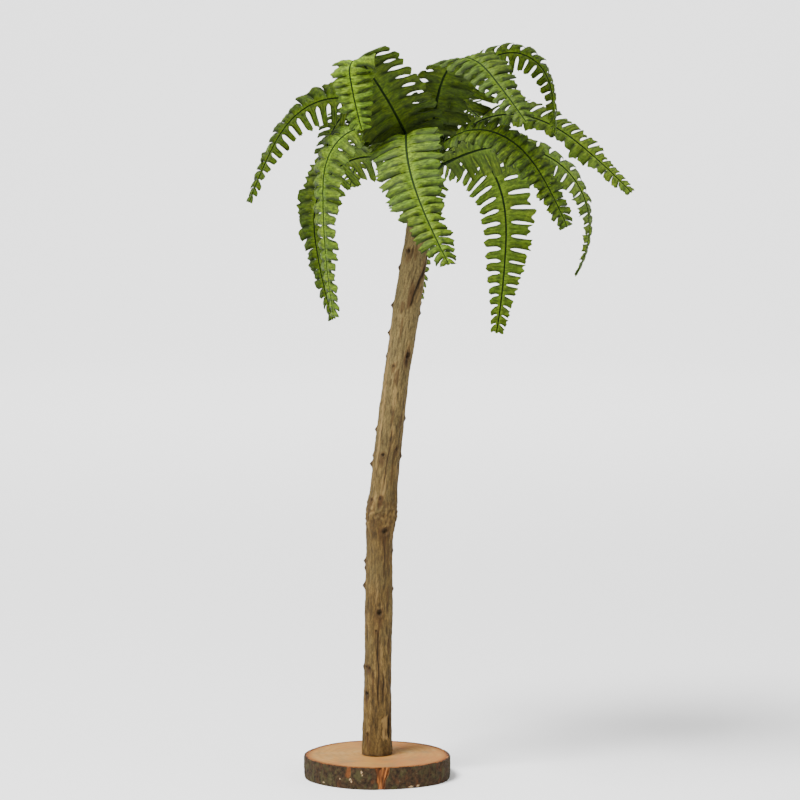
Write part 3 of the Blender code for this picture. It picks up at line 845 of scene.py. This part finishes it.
class Bark:
    """The trunk's relief at each of its points, and how pale, rusty or cracked the bark is there."""

    def __init__(self, height, turn, relief):
        self.turn = turn
        self.level = height / MM
        self.radius = trunk_radius(height)
        self.fibres = along_fibres(height, turn, 850, 150, 0.0)
        self.threads = along_fibres(height, turn, 2300, 480, 40.0)
        self.lumps = along_fibres(height, turn, 300, 110, 90.0)
        self.relief = relief * (0.35 - 2.2 * np.abs(self.fibres) + 0.6 * self.threads + 1.1 * self.lumps)
        self.pale = 0 * height
        self.rust = 0 * height
        self.crack = 0.5 * smooth((np.abs(self.fibres) - 0.34) * 6)
        self.roughen_swelling(height)
        self.add_stains()
        self.open_cracks()
        self.add_knots()
        self.add_stubs()
        self.peel()
        self.finish_ends(height)
        self.pale = np.clip(self.pale, 0, 0.9)
        self.rust = np.clip(self.rust, 0, 0.9)
        self.crack = np.clip(self.crack, 0, 1)

    def across(self, degrees):
        """How far each point is round the trunk from a direction, in millimetres."""
        return away_from(self.turn, degrees) * self.radius / MM

    def oval(self, level, degrees, half_length, half_width):
        """1 on the edge of an upright oval, less inside it and more outside."""
        return (self.across(degrees) / half_width) ** 2 + ((self.level - level) / half_length) ** 2

    def roughen_swelling(self, height):
        near = np.exp(-(((height - SWELLING_HEIGHT) / (0.9 * SWELLING_SPREAD)) ** 2))
        scaly = along_fibres(height, self.turn, 900, 650, 17.0)
        self.relief += 0.65 * MM * near * scaly
        self.rust += 0.55 * near * smooth((0.05 - scaly) * 4)

    def add_stains(self):
        for place in STAINS:
            self.rust += 0.6 * smooth(1.5 - self.oval(*place) + 1.2 * self.fibres)
        for place in PALE_PLACES:
            self.pale += 0.45 * smooth(1.4 - self.oval(*place) + 1.6 * self.threads)

    def open_cracks(self):
        for low, high, first, last, half_width, depth in CRACKS:
            share = np.clip((self.level - low) / (high - low), 0, 1)
            path = first + (last - first) * share + np.sin(self.level * 0.35 + low) + 5 * self.lumps
            past = np.abs(self.level - (low + high) / 2) - (high - low) / 2
            ends = smooth(-past / 4)
            gap = self.across(path) / half_width
            line = np.exp(-(gap**2)) * ends
            self.relief -= depth * MM * line
            self.crack += 1.1 * line
            self.rust += 0.6 * np.exp(-((gap / 3.2) ** 2)) * ends

    def add_knots(self):
        for level, degrees, size in KNOTS:
            across, up = self.across(degrees), self.level - level
            far = np.sqrt(across**2 + (up / 1.15) ** 2) / size + 0.5 * self.threads
            ring = np.exp(-(((far - 1.05) / 0.38) ** 2))
            pit = np.exp(-((far / 0.62) ** 2))
            self.relief += size * MM * (0.42 * ring - 0.55 * pit)
            self.crack += 0.75 * smooth((1.05 - far) * 2.0)
            run_down = np.where(up < 0, 0.35, 1.0) * up
            stain = np.sqrt(across**2 + run_down**2) / size
            self.rust += 0.6 * smooth(2.2 - stain + 1.2 * self.fibres)

    def add_stubs(self):
        for level, degrees, out in STUBS:
            width = 0.75 + 0.25 * out
            far = self.oval(level + 0.2, degrees, 1.25 * width, width)
            self.relief += out * MM * np.exp(-1.1 * far**0.8)
            self.rust += 0.8 * smooth(2.4 - far)
            self.crack += 0.65 * smooth(1.7 - far)

    def peel(self):
        """Near the foot the bark has come away: a pale hollow with a dark gap along its right edge."""
        low, high, first, last = PEELED
        ragged = self.threads + 1.3 * self.lumps
        across = np.degrees(away_from(self.turn, (first + last) / 2)) / ((last - first) / 2)
        along = (self.level - (low + high) / 2) / ((high - low) / 2)
        inside = smooth((1 - np.abs(across) ** 3 - np.abs(along) ** 3 + 0.9 * ragged) * 2.0)
        edge = np.exp(-(((across - 1.05) / 0.16) ** 2)) * smooth((1.15 - np.abs(along)) * 4)
        slit = np.exp(-(((across - 0.35) / 0.13) ** 2)) * smooth((0.45 - np.abs(along + 0.45)) * 5)
        self.relief = self.relief * (1 - 0.4 * inside) - MM * (0.35 * inside + 0.5 * edge + 0.45 * slit)
        self.pale = np.maximum(self.pale * (1 - inside), (0.85 + 0.6 * ragged) * inside)
        self.rust *= 1 - inside
        self.crack = self.crack * (1 - inside) + edge + 0.95 * slit

    def finish_ends(self, height):
        """Darkens the trunk's lowest 2.2 millimetres with the rust colour, and smooths the relief away at the
        foot and at the top.
        """
        above, below = height - TRUNK_FOOT, TRUNK_TOP - height
        self.rust += 0.5 * smooth(1 - above / (2.2 * MM))
        self.relief *= smooth(above / (0.4 * MM) + 0.15) * smooth(below / (0.4 * MM) + 0.15)


# --------------------------------------------------------------------- fronds


class Rib:
    """The curve of one frond's rib, with the blade's side and upper direction at each distance along it."""

    def __init__(self, frond):
        self.length = frond.length * MM
        self.bare = frond.bare * MM
        self.width = frond.width
        self.cup = frond.cup
        s = np.linspace(0, 1, CURVE_STEPS)
        self.at = s * self.length
        heading = np.radians(frond.heading + frond.sweep * s)
        change = smooth((s - frond.bend) / frond.span + 0.5)
        climb = frond.rise + (frond.droop - frond.rise) * change - TIP_SAG * s * s
        climb = np.radians(climb + (90 - climb) * (1 - smooth(self.at / UPRIGHT_RUN)))
        level = np.stack([np.cos(heading), np.sin(heading), 0 * s], 1)
        along = level * np.cos(climb)[:, None] + np.array([0, 0, 1.0]) * np.sin(climb)[:, None]
        steps = (along[1:] + along[:-1]) / 2 * self.length / (CURVE_STEPS - 1)
        turn = math.radians(frond.heading)
        seat = np.array([math.cos(turn) * frond.seat, math.sin(turn) * frond.seat, 0])
        seat += np.array([trunk_centre(TRUNK_TOP) + CROWN_OFFSET, 0, TRUNK_TOP + SEAT_GAP])
        self.points = seat + np.concatenate([np.zeros((1, 3)), np.cumsum(steps, axis=0)])
        flat_side = np.stack([-np.sin(heading), np.cos(heading), 0 * s], 1)
        flat_up = np.cross(along, flat_side)
        roll = np.radians(frond.roll + (frond.tip_roll - frond.roll) * change)
        roll *= smooth(self.at / (1.2 * UPRIGHT_RUN))
        self.side = flat_side * np.cos(roll)[:, None] + flat_up * np.sin(roll)[:, None]
        self.up = flat_up * np.cos(roll)[:, None] - flat_side * np.sin(roll)[:, None]

    def sample(self, rows, distance):
        """Rows of the rib, such as its points, at distances along it."""
        return np.stack([np.interp(distance, self.at, rows[:, i]) for i in range(3)], -1)

    def half_width(self, distance):
        """Half the blade's width at a distance along the rib."""
        share = (distance - BLADE_START) / (self.length - BLADE_START)
        opening = np.minimum(0.16 + 0.84 * distance / FULL_WIDTH_AT, 1.0)
        closing = 1 - 0.78 * np.clip((share - WIDEST_AT) / (1 - WIDEST_AT), 0, 1) ** 1.4
        return BLADE_HALF_WIDTH * self.width * opening * closing

    def leaflet_spans(self):
        """(start, end, next start) of each leaflet pair along the rib; they close up towards the tip."""
        share = np.arange(LEAFLET_PAIRS + 1) / LEAFLET_PAIRS
        starts = self.bare + (self.length - self.bare) * (share + CLOSING_UP * (share - share**3))
        return [(a, a + (b - a) * LEAFLET_SHARE, b) for a, b in zip(starts[:-1], starts[1:])]

    def band(self, distance):
        return np.maximum(BAND_SHARE * self.half_width(distance), 1.05 * STALK_HALF_WIDTH)

    def surface(self, distance, across, lift):
        """Points of the blade, and its upper direction there."""
        side = self.sample(self.side, distance)
        up = self.sample(self.up, distance)
        reach = np.maximum(self.half_width(distance), 2 * MM)
        cup = self.cup * (1 - 0.7 * distance / self.length)
        height = lift - cup * across * across / reach
        return self.sample(self.points, distance) + side * across[..., None] + up * height[..., None], up


def prism(rib, corners, thickness):
    """A thin closed solid over the corners, given as (distance, across), to test for clearance."""
    distance, across = np.array(corners).T
    middle, up = rib.surface(np.clip(distance, 0, rib.length), across, 0 * distance)
    count = len(corners)
    points = np.concatenate([middle + up * thickness / 2, middle - up * thickness / 2])
    faces = [tuple(range(count)), tuple(range(2 * count - 1, count - 1, -1))]
    faces += [(i, (i + 1) % count, (i + 1) % count + count, i + count) for i in range(count)]
    return points, faces


def leaflet_prism(rib, span, sign, reach, grow):
    """A leaflet's plain shape, trimmed to a reach and grown all round."""
    start, end, _ = span
    middle = (start + end) / 2
    half = rib.half_width(middle)
    edge = sign * rib.band(middle)
    lead = LEAFLET_LEAD * half * reach
    shoulder = sign * (BAND_SHARE + (SHOULDER_AT - BAND_SHARE) * reach) * half
    tip = sign * ((BAND_SHARE + (1.0 - BAND_SHARE) * reach) * half + grow / 2)
    low, high = start - grow / 2, end + grow / 2
    corners = [(low, edge), (low + lead, shoulder), (middle + END_LEAD * lead, tip)]
    corners += [(high + lead, shoulder), (high, edge)]
    return prism(rib, corners, grow)


def rib_prisms(rib):
    """The stalk and the band, which no leaflet of another frond may touch."""
    distances = [*np.linspace(0, rib.bare, 6), *(start for start, _, _ in rib.leaflet_spans()), rib.length]
    solids = []
    for low, high in zip(distances, distances[1:]):
        half = rib.band((low + high) / 2) if low >= rib.bare else STALK_HALF_WIDTH
        solids.append(prism(rib, [(low, -half), (high, -half), (high, half), (low, half)], RIB_CLEARANCE))
    return solids


def surface_tree(solids):
    """One search tree over the faces of many solids."""
    points = []
    faces = []
    for more_points, more_faces in solids:
        faces += [tuple(i + len(points) for i in face) for face in more_faces]
        points += more_points.tolist()
    return BVHTree.FromPolygons(points, faces)


def furthest_reach(rib, span, sign, tree):
    """How far a leaflet may reach before it would touch the tree's surfaces, or 0 where it has no room."""
    for reach in TRIED_REACHES:
        grown = leaflet_prism(rib, span, sign, reach, LEAFLET_CLEARANCE)
        if not tree.overlap(surface_tree([grown])):
            return reach
    return 0.0


def trimmed_reaches(ribs):
    """For each frond, how far each leaflet may reach before it would touch a neighbouring frond."""
    rib_solids = [rib_prisms(rib) for rib in ribs]
    placed = []
    reaches = []
    for own, rib in enumerate(ribs):
        others = [solid for i, solids in enumerate(rib_solids) if i != own for solid in solids]
        tree = surface_tree(others + placed)
        mine = []
        found = {}
        for pair, span in enumerate(rib.leaflet_spans()):
            for sign in (1, -1):
                reach = furthest_reach(rib, span, sign, tree)
                found[pair, sign] = reach
                if reach > 0:
                    mine.append(leaflet_prism(rib, span, sign, reach, PLACED_LEAFLET))
        placed += mine
        reaches.append(found)
    return reaches


class Blade:
    """One frond's cloth as a grid of quads on its middle surface, then given its thickness."""

    def __init__(self, rib):
        self.rib = rib
        self.blocks = []
        self.count = 0
        self.faces = []

    def add(self, distance, across, lift, crease):
        """Adds a block of points and returns their numbers, in the block's shape."""
        block = np.broadcast_arrays(distance, across, lift, crease)
        shape = block[0].shape
        numbers = np.arange(self.count, self.count + block[0].size).reshape(shape)
        self.blocks.append(np.stack([values.ravel() for values in block], 1))
        self.count += block[0].size
        return numbers

    def join(self, numbers, sign):
        """Quads over a block whose rows run along the rib and whose columns run outwards."""
        corners = [numbers[:-1, :-1], numbers[1:, :-1], numbers[1:, 1:], numbers[:-1, 1:]]
        quads = np.stack(corners, -1).reshape(-1, 4)
        self.faces += (quads if sign > 0 else quads[:, ::-1]).tolist()

    def merge(self):
        """Makes points that lie together one, so that both sides meet along the rib."""
        points = np.concatenate(self.blocks)
        places = np.round(points[:, :2] / SAME_PLACE).astype(np.int64)
        _, first, index = np.unique(places, axis=0, return_index=True, return_inverse=True)
        points = points[first]
        index = index.reshape(-1)
        self.distance, self.across, self.lift, self.crease = points.T
        self.faces = [tuple(int(index[i]) for i in face) for face in self.faces]

    def solid(self, thickness):
        """Points and faces of both sides and the cut edge, with each face's material."""
        distance = np.clip(self.distance, 0, self.rib.length)
        middle, up = self.rib.surface(distance, self.across, self.lift)
        count = len(middle)
        points = np.concatenate([middle + up * thickness / 2, middle - up * thickness / 2])
        upper = [face[::-1] for face in self.faces]
        lower = [tuple(i + count for i in face) for face in self.faces]
        edges = {(a, b) for face in upper for a, b in zip(face, face[1:] + face[:1])}
        rim = [(b, a, a + count, b + count) for a, b in sorted(edges) if (b, a) not in edges]
        return points, upper + lower + rim, [0] * len(upper) + [1] * len(lower) + [2] * len(rim)


class Leaflet:
    """One leaflet as a grid: x runs from -1 to 1 along the rib, t from 0 at the band to 1 at the end."""

    x = np.array(ACROSS)[:, None]
    t = (1 - (1 - np.linspace(0, 1, LEAFLET_ROWS)) ** ROW_CROWDING)[None, :]

    def __init__(self, rib, form, span, sign, reach, dice, look):
        start, _, following = span
        self.form, self.sign, self.dice, self.look = form, sign, dice, look
        self.pitch = following - start
        self.centre = start + LEAFLET_SHARE * self.pitch / 2
        self.share = self.centre / rib.length
        self.half = rib.half_width(self.centre)
        self.edge = rib.band(self.centre)
        self.size = min(1.0, self.half / FULL_RELIEF_AT)
        self.ruffle = look.unevenness * form.ruffle
        stretch = form.reach + (form.tip_reach - form.reach) * smooth((self.share - form.reach_from) / 0.2)
        self.reach = reach * (min(stretch, 1.0) if 0 < reach < 1 else stretch)

    def vary(self, low, high):
        """A random departure, larger where leaflets are to differ more."""
        return self.look.unevenness * self.dice.uniform(low, high)

    def grid(self, curl):
        """Distance along the rib, distance across it, lift and painted shade of the leaflet's points."""
        distance, across = self.outline()
        folds = noise_at(distance * 850, across * 260, 0.0)
        return distance, across, self.lift(curl, folds), self.crease(folds)

    def outline(self):
        """Distance along the rib, and across it, of the flat leaflet's points."""
        x, t, form = self.x, self.t, self.form
        fuller = (0.4 * form.puff - 0.49) * smooth((self.share - 0.75) / 0.2)
        share = BAND_SHARE + (1 - BAND_SHARE) * self.reach
        uneven = 1 + self.ruffle * self.dice.uniform(-0.10, 0.06)
        run = max(share * self.half * (1.02 + fuller) * uneven - self.edge, SHORTEST_RUN)
        near_tip = smooth((self.share - 0.72) / 0.28)
        width = np.interp(t, form.steps, form.widths)
        width = width + (0.98 - width) * 0.7 * near_tip * (1 - t**2) + self.vary(-0.09, 0.07) * t
        ending = self.ending(min(form.roundness * width[0, -1] * self.pitch / 2 / run, 0.5))
        forward = smooth((self.share - 0.84) / 0.16)
        lead = (form.lead + 0.3 * form.puff * forward) * self.half * self.reach + self.vary(-0.5, 0.6) * MM
        distance = self.centre + lead * t**1.3 + x * width * self.pitch / 2
        return distance, self.sign * (self.edge + run * t * ending)

    def ending(self, rounding):
        """How far out each row's points are: rounded off at its corners, with a nib and small ruffles."""
        x, t, nib = self.x, self.t, self.form.nib
        bumps = nib * (1 + self.vary(-0.9, 0.7)) * np.exp(-(((x + 0.92) / 0.3) ** 2))
        bumps = bumps - 0.4 * nib * smooth((x - 0.2) / 0.8)
        bumps = bumps + 0.5 * nib * self.look.unevenness * np.sin(5 * x + self.dice.uniform(0, 6))
        bumps = bumps + 0.05 * self.ruffle * np.sin(x * self.dice.uniform(3, 7) + self.dice.uniform(0, 6))
        return 1 - rounding * (1 - np.sqrt(1 - 0.94 * x * x)) * t**2 + bumps * t**3

    def lift(self, curl, folds):
        """How far each point is pressed up: a puff, a groove, a pleat, a curl, a twist and crinkles."""
        x, t, form, look = self.x, self.t, self.form, self.look
        puff = look.puff * form.puff * (1 + self.vary(-0.35, 0.35))
        lean = self.vary(-0.25, 0.35)
        arch = np.cos(math.pi / 2 * np.clip((x - lean) / (1 - lean * np.sign(x - lean)), -1, 1))
        lift = puff * (0.8 + 0.2 * smooth(4 * t)) * (1 - 0.45 * t) * arch
        lift = lift - form.groove * look.groove * np.exp(-((x / 0.17) ** 2)) * (1 - 0.6 * t**2)
        lift = lift + look.pleat * x * (1 - 0.6 * t)
        lift = lift - (curl + self.ruffle * self.dice.uniform(-1.1, 1.5)) * MM * t**2
        lift = lift + self.ruffle * self.dice.uniform(-1.0, 1.0) * MM * x * t**1.5
        lift = lift + look.crinkle * (0.6 + 0.5 * form.puff) * folds
        return self.size * lift

    def crease(self, folds):
        """How much painted shade each point gets: between leaflets, in the groove, and on the side that turns
        down, less where crinkles are pressed up.
        """
        x, t, form = self.x, self.t, self.form
        between = 1.05 * smooth(np.abs(x) * 1.6 - 0.5) * (1 - 0.5 * t) * smooth(t * 5 + 0.3)
        groove = 0.55 * form.groove * np.exp(-((x / 0.2) ** 2)) * (1 - 0.6 * t)
        turned_down = 0.25 * form.puff * smooth(x * 2 + 0.4) * t
        return np.clip(between + groove + turned_down - 0.55 * folds, 0, 1)


def grow_blade(frond, rib, reaches, look):
    """The whole blade: the band beside the rib, and the leaflets where there is room for them."""
    dice = random.Random(frond.name)
    blade = Blade(rib)
    outward = np.linspace(0, 1, BAND_COLUMNS)
    before = {1: None, -1: None}
    for pair, span in enumerate(rib.leaflet_spans()):
        for sign, form in ((1, frond.left), (-1, frond.right)):
            reach = reaches[pair, sign]
            leaflet = Leaflet(rib, form, span, sign, reach, dice, look)
            distance, across, lift, crease = leaflet.grid(frond.curl)
            edge = np.abs(across[:, :1])
            rising = lift[:, :1] * smooth(outward * 1.1 - 0.05)
            numbers = blade.add(distance[:, :1], sign * edge * outward, rising, crease[:, :1] * outward**1.5)
            blade.join(numbers, sign)
            if before[sign] is None:
                before[sign] = blade.add(rib.bare - 1.5 * MM, sign * outward * 0.4 * MM, 0.0, 0.6)
            blade.join(np.stack([before[sign], numbers[0]]), sign)
            before[sign] = numbers[-1]
            if reach > 0:
                outer = blade.add(distance[:, 1:], across[:, 1:], lift[:, 1:], crease[:, 1:])
                blade.join(np.concatenate([numbers[:, -1:], outer], axis=1), sign)
    for sign in (1, -1):
        tip = blade.add(rib.length, sign * outward * 0.5 * MM, 0.0, 0.3)
        blade.join(np.stack([before[sign], tip]), sign)
    return blade


def build_blade(frond, rib, reaches, look, cloths):
    """One frond's cloth, with its upper side, its underside and its cut edge."""
    blade = grow_blade(frond, rib, reaches, look)
    blade.merge()
    points, faces, slots = blade.solid(look.cloth_thickness)
    piece = add_piece(f"frond_{frond.name}_blade", points, faces, cloths, slots, sharp_degrees=55)
    beside = 0.45 * np.exp(-((np.abs(blade.across) / BESIDE_RIB) ** 4))
    # Painted shade near the crown: full on the underside, 0.55 of it on the upper side
    deep = 0.75 * np.exp(-((blade.distance / CROWN_SHADE_RUN) ** 2))
    flat = np.stack([blade.distance, blade.across, 0 * blade.across], 1)
    # Painted shade in the creases, stored for both sides of the cloth
    store(piece, "crease", [blade.crease, blade.crease])
    store(piece, "beside_rib", [beside, beside])
    store(piece, "deep", [0.55 * deep, deep])
    store(piece, "flat", [flat, flat], each=3)
    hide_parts(f"frond_{frond.name}_inner", f"frond_{frond.name}_outer")


def build_wire(frond, rib, look, material):
    """The covered wire: a stem that thins along the rib to the tip."""
    turn = all_round(10)
    along_blade = np.linspace(rib.bare, rib.length - 0.5 * MM, 110)
    distances = np.concatenate([[0], np.linspace(0, rib.bare, 12), along_blade[1:]])
    centre, side, up = (rib.sample(rows, distances) for rows in (rib.points, rib.side, rib.up))
    centre[0, 2] -= STEM_SUNK
    thinning = 1 - 0.55 * distances / rib.length
    stem = 1 + 0.4 * (1 - smooth((distances - 0.6 * rib.bare) / rib.bare))
    radius = (look.wire_radius * thinning * stem)[:, None, None]
    ring = np.cos(turn)[None, :, None] * side[:, None] + np.sin(turn)[None, :, None] * up[:, None]
    points = (centre[:, None] + ring * radius).reshape(-1, 3)
    faces = ring_quads(len(distances), len(turn))
    piece = add_piece(f"frond_{frond.name}_wire", points, faces, [material], sharp_degrees=60)


# ------------------------------------------------------------------ operators


class PALM_OT_add_slice(bpy.types.Operator):
    """Adds the slice of wood with its bark"""

    bl_idname = "model_palm.add_slice"
    bl_label = "Add slice"

    def execute(self, context):
        look = context.scene.palm_slice
        build_slice_wood(look)
        build_inner_bark(look)
        build_slice_bark(look)
        return {"FINISHED"}


class PALM_OT_add_trunk(bpy.types.Operator):
    """Adds the branch that is the trunk"""

    bl_idname = "model_palm.add_trunk"
    bl_label = "Add trunk"

    def execute(self, context):
        build_trunk_bark(context.scene.palm_trunk)
        return {"FINISHED"}


class PALM_OT_add_fronds(bpy.types.Operator):
    """Adds the crown of cloth fronds, each with its wire"""

    bl_idname = "model_palm.add_fronds"
    bl_label = "Add fronds"

    def execute(self, context):
        look = context.scene.palm_fronds
        wire = wire_material(look.wire_color)
        # The darker cut edge is partly the cloth's own edge colour, partly painted shade along the leaflets'
        # edges
        edge = cloth_material("cloth_edge", look.edge_color, 0.05 * MM, 0.5)
        cloths = []
        # Tints 2 and 3 are lit and shaded copies of the cloth: painted light and shade for the two high
        # fronds
        for tint, (bright, dull) in enumerate(CLOTH_TONE_AND_PAINTED_SHADE):
            upper, lower = scaled(look.upper_color, bright), scaled(look.lower_color, dull)
            upper = cloth_material(f"cloth_upper_{tint}", upper, 0.1 * MM, 1.25)
            lower = cloth_material(f"cloth_lower_{tint}", lower, 0.08 * MM, 0.95)
            cloths.append([upper, lower, edge])
        ribs = [Rib(frond) for frond in FRONDS]
        for frond, rib, reaches in zip(FRONDS, ribs, trimmed_reaches(ribs)):
            build_blade(frond, rib, reaches, look, cloths[frond.tint])
            build_wire(frond, rib, look, wire)
        return {"FINISHED"}


class PALM_OT_add_stage(bpy.types.Operator):
    """Adds the floor, the lights and the camera"""

    bl_idname = "model_palm.add_stage"
    bl_label = "Add stage"

    def execute(self, context):
        look = context.scene.palm_stage
        build_floor(look)
        build_lights(look)
        build_camera()
        return {"FINISHED"}


# ---------------------------------------------------------------------- stage


def build_floor(look):
    """A round pale floor that sweeps up all round, so that no edge shows from any side."""
    turn = all_round(96)
    rows = [(radius, 0.0) for radius in (0.02, 0.2, 0.6, 1.2, 2.0, FLOOR_FLAT)]
    for angle in np.linspace(0, math.pi / 2, 14)[1:]:
        rows.append((FLOOR_FLAT + FLOOR_SWEEP * math.sin(angle), FLOOR_SWEEP * (1 - math.cos(angle))))
    rows.append((FLOOR_FLAT + FLOOR_SWEEP, FLOOR_SWEEP + FLOOR_WALL))
    points = ring_points([(radius, height - FLOOR_DROP) for radius, height in rows], turn)
    faces = ring_quads(len(rows), len(turn), ends="open") + [tuple(range(len(turn)))]
    mesh = bpy.data.meshes.new("floor")
    mesh.from_pydata(points.tolist(), [], faces)
    mesh.shade_smooth()
    recipe = Recipe("pale_floor", 0.9, Specular_IOR_Level=0.1, Base_Color=(*look.floor_color, 1.0))
    mesh.materials.append(recipe.material)
    floor = bpy.data.objects.new("floor", mesh)
    bpy.context.scene.collection.objects.link(floor)


def aim(thing, place, target):
    """Puts a light or a camera in its place and turns it to its target."""
    thing.location = place
    thing.rotation_euler = (Vector(target) - Vector(place)).to_track_quat("-Z", "Y").to_euler()
    bpy.context.scene.collection.objects.link(thing)


def add_soft_light(name, spot, power):
    """A round area light, from its place, what it points at and its size."""
    place, target, size = spot
    light = bpy.data.lights.new(name, "AREA")
    light.shape = "DISK"
    light.size = size
    light.energy = power
    aim(bpy.data.objects.new(name, light), place, target)


def build_lights(look):
    add_soft_light("main_light", MAIN_LIGHT, look.key_power)
    add_soft_light("fill_light", FILL_LIGHT, look.fill_power)
    add_soft_light("floor_light", FLOOR_LIGHT, look.floor_power)
    world = bpy.data.worlds.new("even_sky")
    world.use_nodes = True
    sky = world.node_tree.nodes["Background"]
    sky.inputs["Color"].default_value = (1.0, 1.0, 1.0, 1.0)
    sky.inputs["Strength"].default_value = look.sky_strength
    bpy.context.scene.world = world


def build_camera():
    camera = bpy.data.objects.new("camera", bpy.data.cameras.new("camera"))
    camera.data.lens = CAMERA_LENS
    camera.data.sensor_width = 36.0
    aim(camera, CAMERA_PLACE, CAMERA_TARGET)
    bpy.context.scene.camera = camera


# --------------------------------------------------------------------- add-on


class PALM_PT_panel(bpy.types.Panel):
    """Lists the palm's pieces and their settings"""

    bl_idname = "PALM_PT_panel"
    bl_label = "Model palm"
    bl_space_type = "VIEW_3D"
    bl_region_type = "UI"
    bl_category = "Model palm"

    def draw(self, context):
        for name, (_, operator) in SECTIONS.items():
            box = self.layout.box()
            box.operator(operator.bl_idname)
            settings = getattr(context.scene, name)
            for setting in settings.__annotations__:
                box.prop(settings, setting)


# The settings and the operator of each group of pieces, by the name of the settings in the scene
SECTIONS = {
    "palm_slice": (SliceSettings, PALM_OT_add_slice),
    "palm_trunk": (TrunkSettings, PALM_OT_add_trunk),
    "palm_fronds": (FrondSettings, PALM_OT_add_fronds),
    "palm_stage": (StageSettings, PALM_OT_add_stage),
}
CLASSES = (*(cls for section in SECTIONS.values() for cls in section), PALM_PT_panel)


def register():
    for cls in CLASSES:
        bpy.utils.register_class(cls)
    for name, (settings, _) in SECTIONS.items():
        setattr(bpy.types.Scene, name, PointerProperty(type=settings))


def unregister():
    for name in SECTIONS:
        delattr(bpy.types.Scene, name)
    for cls in reversed(CLASSES):
        bpy.utils.unregister_class(cls)


def corners(box):
    """A box's two corners as plain lists."""
    return [[float(value) for value in corner] for corner in box]


def main():
    register()
    bpy.ops.model_palm.add_slice()
    bpy.ops.model_palm.add_trunk()
    bpy.ops.model_palm.add_fronds()
    bpy.ops.model_palm.add_stage()
    bpy.context.view_layer.update()


if __name__ == "__main__":
    main()
